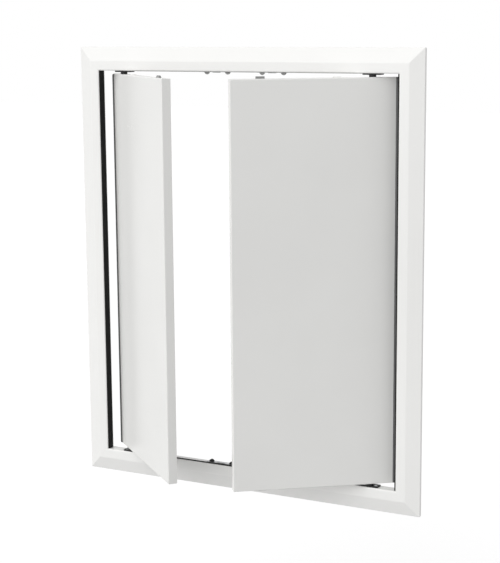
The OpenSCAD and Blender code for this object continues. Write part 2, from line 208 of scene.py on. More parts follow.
class Effects:
    """Shader node groups that several finishes share."""

    FULL_SPAN: Span = (0.0, 1.0)
    GLOSS_SPAN: Span = (0.3, 0.7)
    MOTTLE_SPAN: Span = (0.35, 0.7)
    GRAIN_IN_GLOSS = 0.35
    STREAK_SPAN: Span = (0.35, 0.65)
    WEAR_AND_HIGHLIGHT_SCALE = 45.0
    WEAR_AND_HIGHLIGHT_SPAN: Span = (0.35, 0.6)
    WEAR_AND_HIGHLIGHT_LEAST = 0.35
    WORN_ROUGHNESS = 0.8
    VEIL_SCALE = 22.0
    VEIL_SPAN: Span = (0.45, 0.75)
    VEIL_MOST = 0.6
    SPECK_SCALE = 1400.0
    SPECK_SPAN: Span = (0.68, 0.78)
    DUST_DULLING = 0.5

    @staticmethod
    def _group(
        name: str,
        inputs: dict[str, str],
        outputs: dict[str, str],
    ) -> tuple[NodeSheet, object, object]:
        """Starts a node group.

        Args:
            name: the group's name.
            inputs: socket types by input name.
            outputs: socket types by output name.

        Returns:
            The sheet, the group's input node and its output node.
        """
        tree = bpy.data.node_groups.new(name, "ShaderNodeTree")
        for title, kind in inputs.items():
            tree.interface.new_socket(name=title, in_out="INPUT", socket_type=kind)
        for title, kind in outputs.items():
            tree.interface.new_socket(name=title, in_out="OUTPUT", socket_type=kind)
        sheet = NodeSheet(tree)
        return sheet, sheet.add("NodeGroupInput").outputs, sheet.add("NodeGroupOutput").inputs

    @classmethod
    @cache
    def moulded_skin(cls) -> bpy.types.NodeTree:
        """Builds the skin of a moulding: a faint drift of shade, uneven gloss and a fine grain.

        Returns:
            The node group.
        """
        sheet, given, result = cls._group(
            "Moulded Skin",
            {
                "Color": "NodeSocketColor",
                "Shade": "NodeSocketColor",
                "Mottle Scale": "NodeSocketFloat",
                "Grain Scale": "NodeSocketFloat",
                "Smooth": "NodeSocketFloat",
                "Rough": "NodeSocketFloat",
            },
            {"Color": "NodeSocketColor", "Roughness": "NodeSocketFloat", "Height": "NodeSocketFloat"},
        )
        place = sheet.add("ShaderNodeTexCoord").outputs["Object"]
        mottle = sheet.noise(given["Mottle Scale"], detail=3.0, vector=place)
        grain = sheet.noise(given["Grain Scale"], detail=2.0, vector=place)
        drift = sheet.spread(mottle, cls.MOTTLE_SPAN, 0.0, 1.0)
        sheet.feed(result["Color"], sheet.mix(drift, given["Color"], given["Shade"]))
        fine = sheet.math("MULTIPLY", grain, cls.GRAIN_IN_GLOSS)
        broad = sheet.math("MULTIPLY", mottle, 1.0 - cls.GRAIN_IN_GLOSS)
        gloss = sheet.math("ADD", fine, broad)
        roughness = sheet.spread(gloss, cls.GLOSS_SPAN, given["Smooth"], given["Rough"])
        sheet.feed(result["Roughness"], roughness)
        sheet.feed(result["Height"], grain)
        return sheet.tree

    @classmethod
    @cache
    def drawn_streaks(cls) -> bpy.types.NodeTree:
        """Builds the lines that drawing or extruding leaves along a piece.

        Returns:
            The node group.
        """
        sheet, given, result = cls._group(
            "Drawn Streaks",
            {
                "Color": "NodeSocketColor",
                "Shade": "NodeSocketColor",
                "Stretch": "NodeSocketVector",
                "Smooth": "NodeSocketFloat",
                "Rough": "NodeSocketFloat",
            },
            {"Color": "NodeSocketColor", "Roughness": "NodeSocketFloat", "Height": "NodeSocketFloat"},
        )
        place = sheet.add("ShaderNodeTexCoord").outputs["Object"]
        stretched = sheet.add("ShaderNodeMapping", Vector=place, Scale=given["Stretch"]).outputs["Vector"]
        lines = sheet.noise(1.0, detail=4.0, vector=stretched)
        drift = sheet.spread(lines, cls.STREAK_SPAN, 0.0, 1.0)
        sheet.feed(result["Color"], sheet.mix(drift, given["Color"], given["Shade"]))
        roughness = sheet.spread(lines, cls.GLOSS_SPAN, given["Smooth"], given["Rough"])
        sheet.feed(result["Roughness"], roughness)
        sheet.feed(result["Height"], lines)
        return sheet.tree

    @classmethod
    @cache
    def edge_wear_and_highlight(cls) -> bpy.types.NodeTree:
        """Builds rounded edges that hands and cloths have rubbed smoother, with a lighter colour that is
        partly wear and partly a painted highlight.

        Returns:
            The node group.
        """
        sheet, given, result = cls._group(
            "Edge Wear And Highlight",
            {
                "Color": "NodeSocketColor",
                "Roughness": "NodeSocketFloat",
                "Edge Color": "NodeSocketColor",
                "Edge": "NodeSocketFloat",
            },
            {"Color": "NodeSocketColor", "Roughness": "NodeSocketFloat"},
        )
        place = sheet.add("ShaderNodeTexCoord").outputs["Object"]
        rub_and_highlight_noise = sheet.noise(cls.WEAR_AND_HIGHLIGHT_SCALE, detail=3.0, vector=place)
        patches = sheet.spread(rub_and_highlight_noise, cls.WEAR_AND_HIGHLIGHT_SPAN, cls.WEAR_AND_HIGHLIGHT_LEAST, 1.0)
        wear_and_highlight = sheet.math("MULTIPLY", patches, given["Edge"])
        sheet.feed(result["Color"], sheet.mix(wear_and_highlight, given["Color"], given["Edge Color"]))
        smoothed = sheet.spread(wear_and_highlight, cls.FULL_SPAN, 1.0, cls.WORN_ROUGHNESS)
        sheet.feed(result["Roughness"], sheet.math("MULTIPLY", given["Roughness"], smoothed))
        return sheet.tree

    @classmethod
    @cache
    def settled_dust(cls) -> bpy.types.NodeTree:
        """Builds a thin veil of dust in patches, with a few specks.

        Returns:
            The node group.
        """
        sheet, given, result = cls._group(
            "Settled Dust",
            {
                "Color": "NodeSocketColor",
                "Roughness": "NodeSocketFloat",
                "Dust Color": "NodeSocketColor",
                "Amount": "NodeSocketFloat",
            },
            {"Color": "NodeSocketColor", "Roughness": "NodeSocketFloat"},
        )
        place = sheet.add("ShaderNodeTexCoord").outputs["Object"]
        film = sheet.noise(cls.VEIL_SCALE, detail=4.0, vector=place)
        veil = sheet.spread(film, cls.VEIL_SPAN, 0.0, cls.VEIL_MOST)
        grit = sheet.noise(cls.SPECK_SCALE, detail=1.0, vector=place)
        specks = sheet.spread(grit, cls.SPECK_SPAN, 0.0, 1.0)
        dust = sheet.math("MULTIPLY", sheet.math("MAXIMUM", veil, specks), given["Amount"])
        sheet.feed(result["Color"], sheet.mix(dust, given["Color"], given["Dust Color"]))
        dulled = sheet.math("MULTIPLY", dust, cls.DUST_DULLING)
        sheet.feed(result["Roughness"], sheet.math("ADD", given["Roughness"], dulled))
        return sheet.tree


def opaque(color: Color) -> tuple[float, float, float, float]:
    """Adds full alpha to a colour."""
    return (*color, 1.0)


@dataclass(frozen=True)
class Finish:
    """What every finish has: its colours, its span of gloss and its dust."""

    name: str
    slot: Slot
    color: Color
    shade: Color
    edge_color: Color
    smooth: float
    rough: float
    relief: float
    dust: float
    dust_color: Color = (0.42, 0.41, 0.39)
    metallic: float = 0.0
    specular: float = 0.5

    def skin(self, sheet: NodeSheet) -> bpy.types.Node:
        """Adds the group that gives the finish its grain, with outputs Color, Roughness and Height."""
        raise NotImplementedError

    def material(self) -> bpy.types.Material:
        """Builds the finish as a material.

        Returns:
            The material.
        """
        found = bpy.data.materials.get(self.name)
        if found:
            return found
        made = bpy.data.materials.new(self.name)
        made.use_nodes = True
        sheet = NodeSheet(made.node_tree)
        skin = self.skin(sheet).outputs
        mask = sheet.add("ShaderNodeAttribute")
        mask.attribute_name = EDGE_MASK
        # Rounded edges lighten towards the edge colour: partly wear, partly a painted highlight.
        edge = sheet.group(
            Effects.edge_wear_and_highlight(),
            Color=skin["Color"],
            Roughness=skin["Roughness"],
            Edge_Color=opaque(self.edge_color),
            Edge=mask.outputs["Fac"],
        ).outputs
        dust = sheet.group(
            Effects.settled_dust(),
            Color=edge["Color"],
            Roughness=edge["Roughness"],
            Dust_Color=opaque(self.dust_color),
            Amount=self.dust,
        ).outputs
        bump = sheet.add("ShaderNodeBump", Strength=1.0, Distance=self.relief, Height=skin["Height"])
        shader = sheet.add(
            "ShaderNodeBsdfPrincipled",
            Base_Color=dust["Color"],
            Roughness=dust["Roughness"],
            Metallic=self.metallic,
            Specular_IOR_Level=self.specular,
            Normal=bump.outputs["Normal"],
        )
        sheet.add("ShaderNodeOutputMaterial", Surface=shader.outputs["BSDF"])
        return made


@dataclass(frozen=True)
class MouldedFinish(Finish):
    """A moulded plastic."""

    mottle_scale: float = 5.0
    grain_scale: float = 500.0

    def skin(self, sheet: NodeSheet) -> bpy.types.Node:
        """Adds the moulded skin.

        Args:
            sheet: the material's node sheet.

        Returns:
            The group node.
        """
        return sheet.group(
            Effects.moulded_skin(),
            Color=opaque(self.color),
            Shade=opaque(self.shade),
            Mottle_Scale=self.mottle_scale,
            Grain_Scale=self.grain_scale,
            Smooth=self.smooth,
            Rough=self.rough,
        )


@dataclass(frozen=True)
class DrawnFinish(Finish):
    """An extruded rubber or a drawn or rolled metal, with lines along the piece."""

    stretch: tuple[float, float, float] = (20.0, 900.0, 900.0)

    def skin(self, sheet: NodeSheet) -> bpy.types.Node:
        """Adds the drawn streaks.

        Args:
            sheet: the material's node sheet.

        Returns:
            The group node.
        """
        return sheet.group(
            Effects.drawn_streaks(),
            Color=opaque(self.color),
            Shade=opaque(self.shade),
            Stretch=self.stretch,
            Smooth=self.smooth,
            Rough=self.rough,
        )


GLOSS_WHITE = MouldedFinish(
    name="gloss_white_plastic",
    slot=Slot.WHITE_PLASTIC,
    color=(0.862, 0.861, 0.845),
    shade=(0.84, 0.839, 0.823),
    edge_color=(0.887, 0.886, 0.871),
    smooth=0.2,
    rough=0.28,
    relief=0.004 * MM,
    dust=0.015,
    specular=0.18,
    mottle_scale=6.0,
    grain_scale=350.0,
)
# The same white plastic as the leaves, its colour made lighter as painted light for the brighter light on
# the frame.
FRAME_WHITE_PAINTED_LIGHT = MouldedFinish(
    name="gloss_white_frame_painted_light",
    slot=Slot.WHITE_PLASTIC,
    color=(0.9, 0.898, 0.883),
    shade=(0.882, 0.88, 0.865),
    edge_color=(0.915, 0.913, 0.899),
    smooth=0.12,
    rough=0.2,
    relief=0.004 * MM,
    dust=0.015,
    specular=0.3,
    mottle_scale=6.0,
    grain_scale=350.0,
)
BLACK_ACETAL = MouldedFinish(
    name="black_acetal",
    slot=Slot.BLACK_PLASTIC,
    color=(0.008, 0.008, 0.008),
    shade=(0.012, 0.012, 0.012),
    edge_color=(0.025, 0.025, 0.026),
    smooth=0.3,
    rough=0.45,
    relief=0.03 * MM,
    dust=0.02,
    specular=0.25,
    mottle_scale=60.0,
    grain_scale=2200.0,
)
# The head's rivets are the same black acetal as the sill's; their mid grey is painted light, for the
# light that they catch.
PAINTED_LIGHT_ACETAL = replace(
    BLACK_ACETAL,
    name="black_acetal_painted_light_grey",
    color=(0.5, 0.5, 0.497),
    shade=(0.53, 0.53, 0.527),
    edge_color=(0.58, 0.58, 0.577),
)
GREY_NYLON = MouldedFinish(
    name="grey_nylon",
    slot=Slot.GREY_PLASTIC,
    color=(0.2, 0.205, 0.21),
    shade=(0.25, 0.255, 0.26),
    edge_color=(0.33, 0.335, 0.34),
    smooth=0.42,
    rough=0.6,
    relief=0.05 * MM,
    dust=0.1,
    mottle_scale=90.0,
    grain_scale=1500.0,
)
# Dark grey for the strikes: painted shade, for the shade that falls on them under the head and above the
# sill.
STRIKE_PAINTED_SHADE = MouldedFinish(
    name="strike_grey_painted_shade",
    slot=Slot.GREY_PLASTIC,
    color=(0.21, 0.21, 0.208),
    shade=(0.24, 0.24, 0.238),
    edge_color=(0.32, 0.32, 0.318),
    smooth=0.3,
    rough=0.42,
    relief=0.02 * MM,
    dust=0.05,
    mottle_scale=80.0,
    grain_scale=1800.0,
)
JAMB_RUBBER = DrawnFinish(
    name="black_rubber_jamb",
    slot=Slot.BLACK_SEAL,
    color=(0.004, 0.004, 0.004),
    shade=(0.007, 0.007, 0.007),
    edge_color=(0.012, 0.012, 0.012),
    smooth=0.45,
    rough=0.6,
    relief=0.06 * MM,
    dust=0.01,
    specular=0.15,
    stretch=(700.0, 700.0, 6.0),
)
EDGE_RUBBER = replace(JAMB_RUBBER, name="black_rubber_edge", stretch=(6.0, 700.0, 700.0))
# Dark grey for the bead and cord on each leaf's hinge edge: painted shade, for the rounded edge turning
# into the shaded gap by the jamb.
HINGE_EDGE_PAINTED_SHADE = DrawnFinish(
    name="hinge_edge_painted_shade",
    slot=Slot.BLACK_SEAL,
    color=(0.085, 0.085, 0.087),
    shade=(0.1, 0.1, 0.102),
    edge_color=(0.13, 0.13, 0.132),
    smooth=0.4,
    rough=0.5,
    relief=0.05 * MM,
    dust=0.02,
    specular=0.4,
    stretch=(700.0, 700.0, 6.0),
)
ROLLED_STEEL = DrawnFinish(
    name="rolled_spring_steel",
    slot=Slot.SPRING_STEEL,
    color=(0.52, 0.525, 0.53),
    shade=(0.4, 0.405, 0.41),
    edge_color=(0.62, 0.625, 0.63),
    smooth=0.22,
    rough=0.4,
    relief=0.02 * MM,
    dust=0.05,
    metallic=1.0,
    stretch=(30.0, 1800.0, 1800.0),
)
ZINC_STEEL = DrawnFinish(
    name="zinc_plated_steel",
    slot=Slot.PIN_STEEL,
    color=(0.6, 0.61, 0.62),
    shade=(0.5, 0.51, 0.53),
    edge_color=(0.7, 0.71, 0.72),
    smooth=0.2,
    rough=0.36,
    relief=0.015 * MM,
    dust=0.05,
    metallic=1.0,
    stretch=(1500.0, 1500.0, 60.0),
)


def paint(obj: bpy.types.Object, finish: Finish) -> None:
    """Gives a piece its finish.

    Args:
        obj: the piece.
        finish: the finish.
    """
    material = finish.material()
    if not obj.data.materials:
        obj.data.materials.append(material)
    for slot in obj.material_slots:
        slot.material = material


def dress(node: str, finish: Finish) -> None:
    """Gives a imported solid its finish."""
    paint(frame["nodes"][node], finish)
    LOG.info("%s dressed in %s", node, finish.name)


def no_face(_face: bmesh.types.BMFace) -> bool:
    """Says of every face that its edges may be rounded."""
    return False


def every_edge(_edge: bmesh.types.BMEdge) -> bool:
    """Says of every sharp edge that it is rounded."""
    return True


@dataclass(frozen=True)
class EdgeRounder:
    """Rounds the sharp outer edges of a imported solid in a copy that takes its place."""

    radius: float
    segments: int = 3
    crease_deg: float = 12.0
    shade_deg: float = 32.0
    weld: float = 0.002 * MM
    flat_deg: float = 0.5
    keep_faces: Callable[[bmesh.types.BMFace], bool] = no_face
    wanted: Callable[[bmesh.types.BMEdge], bool] = every_edge

    def build(self, node: str, body: str, finish: Finish) -> None:
        """Makes the rounded copy of a solid.

        Args:
            node: the solid's name.
            body: the body that it rides on.
            finish: its finish.
        """
        work = bmesh.new()
        work.from_mesh(frame["nodes"][node].data)
        bmesh.ops.remove_doubles(work, verts=work.verts, dist=self.weld)
        flat = math.radians(self.flat_deg)
        bmesh.ops.dissolve_limit(work, angle_limit=flat, verts=work.verts, edges=work.edges)
        sharp = [edge for edge in work.edges if self._is_rounded(edge)]
        mask = work.faces.layers.float.new(EDGE_MASK)
        rounded = bmesh.ops.bevel(
            work,
            geom=sharp,
            offset=self.radius,
            offset_type="OFFSET",
            segments=self.segments,
            profile=0.5,
            affect="EDGES",
            clamp_overlap=False,
            material=-1,
        )
        for face in rounded["faces"]:
            face[mask] = 1.0
        finish_piece(work, f"{node}_rounded", body, finish, self.shade_deg, node)

    def _is_rounded(self, edge: bmesh.types.BMEdge) -> bool:
        """Tests whether an edge is sharp, turned outwards and wanted.

        Args:
            edge: the edge.

        Returns:
            True if it gets a radius.
        """
        if len(edge.link_faces) != 2 or not edge.is_convex:
            return False
        if edge.calc_face_angle() < math.radians(self.crease_deg):
            return False
        return self.wanted(edge) and not any(self.keep_faces(face) for face in edge.link_faces)


def finish_piece(
    work: bmesh.types.BMesh,
    name: str,
    body: str,
    finish: Finish,
    shade_deg: float,
    *nodes: str,
) -> None:
    """Turns a worked mesh into a painted piece that rides on a body.

    Args:
        work: the worked mesh, which is freed.
        name: the piece's name.
        body: the body that it rides on.
        finish: its finish.
        shade_deg: edges sharper than this stay crisp.
        nodes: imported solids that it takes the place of.
    """
    for face in work.faces:
        face.smooth = True
    for edge in work.edges:
        edge.smooth = len(edge.link_faces) != 2 or edge.calc_face_angle() < math.radians(shade_deg)
    mesh = bpy.data.meshes.new(name)
    work.to_mesh(mesh)
    work.free()
    piece = bpy.data.objects.new(name, mesh)
    bpy.context.scene.collection.objects.link(piece)
    normals = piece.modifiers.new("even_normals", "WEIGHTED_NORMAL")
    normals.keep_sharp = True
    paint(piece, finish)
    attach(piece, body)
    if nodes:
        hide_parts(*nodes)
    LOG.info("%s on %s, %d faces", name, body, len(mesh.polygons))


def spin_round(work: bmesh.types.BMesh, outline: list[tuple[float, float]], steps: int) -> None:
    """Turns an outline once round the z axis.

    Args:
        work: the mesh that gets the surface.
        outline: radius and height of each point.
        steps: faces round the axis.
    """
    verts = [work.verts.new((radius, 0.0, height)) for radius, height in outline]
    edges = [work.edges.new(pair) for pair in zip(verts, verts[1:])]
    bmesh.ops.spin(
        work,
        geom=verts + edges,
        cent=(0.0, 0.0, 0.0),
        axis=(0.0, 0.0, 1.0),
        angle=2 * math.pi,
        steps=steps,
        use_merge=True,
    )
    bmesh.ops.remove_doubles(work, verts=work.verts, dist=SPIN_WELD)


def stamp(work: bmesh.types.BMesh, one: bpy.types.Mesh, place: Matrix) -> None:
    """Adds a copy of a mesh at a place.

    Args:
        work: the mesh that gets the copy.
        one: the mesh that is copied.
        place: where the copy goes.
    """
    known = len(work.verts)
    work.from_mesh(one)
    work.verts.ensure_lookup_table()
    bmesh.ops.transform(work, matrix=place, verts=work.verts[known:])


def as_mesh(work: bmesh.types.BMesh, name: str) -> bpy.types.Mesh:
    """Turns a worked mesh into a plain mesh.

    Args:
        work: the worked mesh, which is freed.
        name: the mesh's name.

    Returns:
        The mesh.
    """
    bmesh.ops.recalc_face_normals(work, faces=work.faces)
    mesh = bpy.data.meshes.new(name)
    work.to_mesh(mesh)
    work.free()
    return mesh


@dataclass
class FrameAssembly:
    """The four mitred members and the corner keys behind their bevel."""

    body: str = FRAME_BODY
    edge_radius: float = 0.7 * MM
    key_radius: float = 0.5 * MM
    straight_run: float = 8 * MM
    corner_reach: float = 4 * MM
    mitre_slack: float = 0.01
    members: tuple[str, ...] = ("frame_head", "frame_sill", "frame_left_stile", "frame_right_stile")
    corner: Vector = field(init=False)

    def __post_init__(self) -> None:
        """Looks up the outer corner of the frame."""
        self.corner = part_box("frame_head")[1]

    def build(self) -> None:
        """Rounds the members' long edges and the keys."""
        rounder = EdgeRounder(radius=self.edge_radius, keep_faces=self._on_mitre, wanted=self._is_long)
        for node in self.members:
            # The members take the white plastic made lighter as painted light.
            rounder.build(node, self.body, FRAME_WHITE_PAINTED_LIGHT)
        key_rounder = EdgeRounder(radius=self.key_radius)
        for end in End:
            for side in Side:
                key_rounder.build(f"corner_key_{end.value}_{side.value}", self.body, GREY_NYLON)

    def _on_mitre(self, face: bmesh.types.BMFace) -> bool:
        """Tests whether a face lies in a mitre.

        Args:
            face: the face.

        Returns:
            True on a mitre face.
        """
        normal = face.normal
        tilt = abs(abs(normal.x) - abs(normal.z))
        return max(abs(normal.y), tilt) < self.mitre_slack

    def _is_long(self, edge: bmesh.types.BMEdge) -> bool:
        """Tests whether an edge is a straight run or part of a round outer corner.

        Args:
            edge: the edge.

        Returns:
            True for those, and False for the rim of a hole.
        """
        if edge.calc_length() > self.straight_run:
            return True
        middle = (edge.verts[0].co + edge.verts[1].co) / 2
        gap_x = self.corner.x - abs(middle.x)
        gap_z = self.corner.z - abs(middle.z)
        return max(gap_x, gap_z) < self.corner_reach


@dataclass(frozen=True)
class SealStrip:
    """An extruded seal with round free corners and shallow channels along its face."""

    node: str
    along: Vector
    proud: Vector
    corner_radius: float
    channels: int
    finish: Finish
    channel_w: float = 1.1 * MM
    channel_depth: float = 0.3 * MM
    corner_steps: int = 6
    shade_deg: float = 40.0

    def build(self, body: str) -> None:
        """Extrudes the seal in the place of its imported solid.

        Args:
            body: the body that it rides on.
        """
        low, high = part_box(self.node)
        size = high - low
        depth = Vector((0.0, 1.0, 0.0))
        thick = abs(size.dot(self.proud))
        start = Vector(tuple(b if p < 0 else a for a, b, p in zip(low, high, self.proud)))
        work = bmesh.new()
        verts = []
        for step, rise in self._outline(size.y, thick):
            verts.append(work.verts.new(start + depth * step + self.proud * rise))
        end_face = work.faces.new(verts)
        pushed = bmesh.ops.extrude_face_region(work, geom=[end_face], use_keep_orig=True)
        moved = [item for item in pushed["geom"] if isinstance(item, bmesh.types.BMVert)]
        bmesh.ops.translate(work, verts=moved, vec=self.along * size.dot(self.along))
        bmesh.ops.recalc_face_normals(work, faces=work.faces)
        finish_piece(work, f"{self.node}_strip", body, self.finish, self.shade_deg, self.node)

    def _outline(self, width: float, thick: float) -> list[tuple[float, float]]:
        """Draws the section of the seal.

        Args:
            width: from front to rear.
            thick: from the groove's floor to the free face.

        Returns:
            Points as depth and height.
        """
        radius = self.corner_radius
        front = [(0.0, 0.0)]
        for step in range(self.corner_steps + 1):
            turn = math.pi / 2 * step / self.corner_steps
            front.append((radius - radius * math.cos(turn), thick - radius + radius * math.sin(turn)))
        rear = [(width - step, rise) for step, rise in reversed(front)]
        pitch = (width - 2 * radius) / self.channels
        floor = thick - self.channel_depth
        half_top, half_floor = self.channel_w / 2, self.channel_w / 4
        face = []
        for index in range(self.channels):
            middle = radius + pitch * (index + 0.5)
            face += [
                (middle - half_top, thick),
                (middle - half_floor, floor),
                (middle + half_floor, floor),
                (middle + half_top, thick),
            ]
        return [*front, *face, *rear]


@dataclass
class SealSet:
    """The black seals on the jambs, the head and the sill."""

    body: str = FRAME_BODY
    jamb_radius: float = 1.25 * MM
    jamb_channels: int = 3
    edge_radius: float = 0.2 * MM
    edge_channels: int = 1

    def build(self) -> None:
        """Extrudes the four seals."""
        across, up = Vector((1.0, 0.0, 0.0)), Vector((0.0, 0.0, 1.0))
        jamb = (self.jamb_radius, self.jamb_channels, JAMB_RUBBER)
        edge = (self.edge_radius, self.edge_channels, EDGE_RUBBER)
        strips = (
            SealStrip("left_jamb_seal", up, across, *jamb),
            SealStrip("right_jamb_seal", up, -across, *jamb),
            SealStrip("head_seal", across, -up, *edge),
            SealStrip("sill_seal", across, up, *edge),
        )
        for strip in strips:
            strip.build(self.body)


@dataclass(frozen=True)
class CountersunkScrew:
    """A small countersunk screw with a cross recess, its head's face at z = 0 and its tip above."""

    head_radius: float = 2.375 * MM
    head_height: float = 1.125 * MM
    shank_radius: float = 1.25 * MM
    core_radius: float = 0.95 * MM
    length: float = 8.5 * MM
    tip: float = 1.2 * MM
    pitch: float = 0.9 * MM
    recess_reach: float = 1.45 * MM
    recess_half: float = 0.38 * MM
    recess_depth: float = 0.9 * MM
    recess_taper: float = 0.7
    neck: float = 0.3 * MM
    thread_gap: float = 0.6 * MM
    thread_sunk: float = 0.05 * MM
    thread_half: float = 0.3
    rim_slack: float = 0.01 * MM
    steps: int = 32
    thread_steps: int = 16

    def mesh(self) -> bpy.types.Mesh:
        """Builds the screw.

        Returns:
            Its mesh.
        """
        work = bmesh.new()
        self._head(work)
        self._thread(work)
        return as_mesh(work, "countersunk_screw")

    def _head(self, work: bmesh.types.BMesh) -> None:
        """Builds the face with its recess, the cone, the core and the tip.

        Args:
            work: the mesh that gets them.
        """
        spin_round(
            work,
            [
                (self.head_radius, 0.0),
                (self.shank_radius, self.head_height),
                (self.core_radius, self.head_height + self.neck),
                (self.core_radius, self.length - self.tip),
                (0.0, self.length),
            ],
            self.steps,
        )
        rim = [edge for edge in work.edges if all(abs(vert.co.z) < self.rim_slack for vert in edge.verts)]
        cross = self._loop(work, 1.0, 0.0)
        bmesh.ops.triangle_fill(work, use_beauty=True, use_dissolve=False, edges=rim + cross)
        floor = self._loop(work, self.recess_taper, self.recess_depth)
        bmesh.ops.bridge_loops(work, edges=cross + floor)
        bmesh.ops.contextual_create(work, geom=floor)

    def _loop(self, work: bmesh.types.BMesh, share: float, depth: float) -> list[bmesh.types.BMEdge]:
        """Draws the outline of the cross recess.

        Args:
            work: the mesh that gets it.
            share: its share of the full size.
            depth: how deep it lies.

        Returns:
            The outline's edges.
        """
        far, near = self.recess_reach * share, self.recess_half * share
        quarter = [(far, -near), (far, near), (near, near)]
        verts = []
        for turn in range(4):
            spun = Matrix.Rotation(math.pi / 2 * turn, 3, "Z")
            verts += [work.verts.new(spun @ Vector((x, y, depth))) for x, y in quarter]
        return [work.edges.new((vert, verts[index - 1])) for index, vert in enumerate(verts)]

    def _thread(self, work: bmesh.types.BMesh) -> None:
        """Winds the thread round the core.

        Args:
            work: the mesh that gets it.
        """
        start = self.head_height + self.thread_gap
        turns = int((self.length - self.tip - start) / self.pitch)
        root = self.core_radius - self.thread_sunk
        points = [(root, -self.thread_half), (self.shank_radius, 0.0), (root, self.thread_half)]
        verts = [work.verts.new((radius, 0.0, start + share * self.pitch)) for radius, share in points]
        edges = [work.edges.new(pair) for pair in zip(verts, verts[1:])]
        count = self.thread_steps * turns
        bmesh.ops.spin(
            work,
            geom=verts + edges,
            cent=(0.0, 0.0, 0.0),
            axis=(0.0, 0.0, 1.0),
            dvec=(0.0, 0.0, self.pitch * turns / count),
            angle=2 * math.pi * turns,
            steps=count,
        )


@dataclass
class PivotSet:
    """Bearings and their screws, and the pins on which the leaves turn."""

    body: str = FRAME_BODY
    bearing_radius: float = 0.35 * MM
    plate_run: float = 1.5 * MM
    pin_radius: float = 0.5 * MM
    pin_crease_deg: float = 40.0
    screw_offset: float = 8.75 * MM
    screw_face: float = 282 * MM
    screw_shade_deg: float = 32.0

    def build(self) -> None:
        """Rounds the bearings and the pins and sets the screws."""
        bearing = EdgeRounder(radius=self.bearing_radius, segments=2, wanted=self._is_block)
        pin = EdgeRounder(radius=self.pin_radius, crease_deg=self.pin_crease_deg)
        for end in End:
            for side in Side:
                bearing.build(f"pivot_bearing_{end.value}_{side.value}", self.body, BLACK_ACETAL)
                pin.build(f"{side.value}_leaf_{end.value}_pin", f"{side.value}_leaf", ZINC_STEEL)
        self._screws()

    def _is_block(self, edge: bmesh.types.BMEdge) -> bool:
        """Tests whether an edge is a straight one of the foot plate, and not part of a bore's rim."""
        return edge.calc_length() > self.plate_run

    def _screws(self) -> None:
        """Sets the eight screws, two through each bearing."""
        one = CountersunkScrew().mesh()
        work = bmesh.new()
        for joint in frame["joints"]:
            pivot = Vector(joint["pos_m"])
            for offset in (-self.screw_offset, self.screw_offset):
                for turn in (0.0, math.pi):
                    height = self.screw_face * math.cos(turn)
                    place = Matrix.Translation((pivot.x + offset, pivot.y, height))
                    stamp(work, one, place @ Matrix.Rotation(turn, 4, "X"))
        bpy.data.meshes.remove(one)
        name = "countersunk_bearing_screws"
        finish_piece(work, name, self.body, ZINC_STEEL, self.screw_shade_deg, "bearing_screws")


@dataclass
class CatchSet:
    """Spring clips, their rivets and the strikes on the leaves."""

    body: str = FRAME_BODY
    strike_radius: float = 0.25 * MM
    clip_radius: float = 0.12 * MM
    clip_crease_deg: float = 40.0

    def build(self) -> None:
        """Rounds the strikes and the clips and dresses the rivets."""
        strike = EdgeRounder(radius=self.strike_radius)
        clip = EdgeRounder(radius=self.clip_radius, segments=2, crease_deg=self.clip_crease_deg)
        for end in End:
            for side in Side:
                clip.build(f"catch_clip_{end.value}_{side.value}", self.body, ROLLED_STEEL)
                # The strikes take a dark grey that is painted shade.
                strike.build(f"{side.value}_leaf_{end.value}_strike", f"{side.value}_leaf", STRIKE_PAINTED_SHADE)
        # The head's rivets get the black acetal painted light grey; the sill's keep it black.
        dress("head_catch_rivets", PAINTED_LIGHT_ACETAL)
        dress("sill_catch_rivets", BLACK_ACETAL)


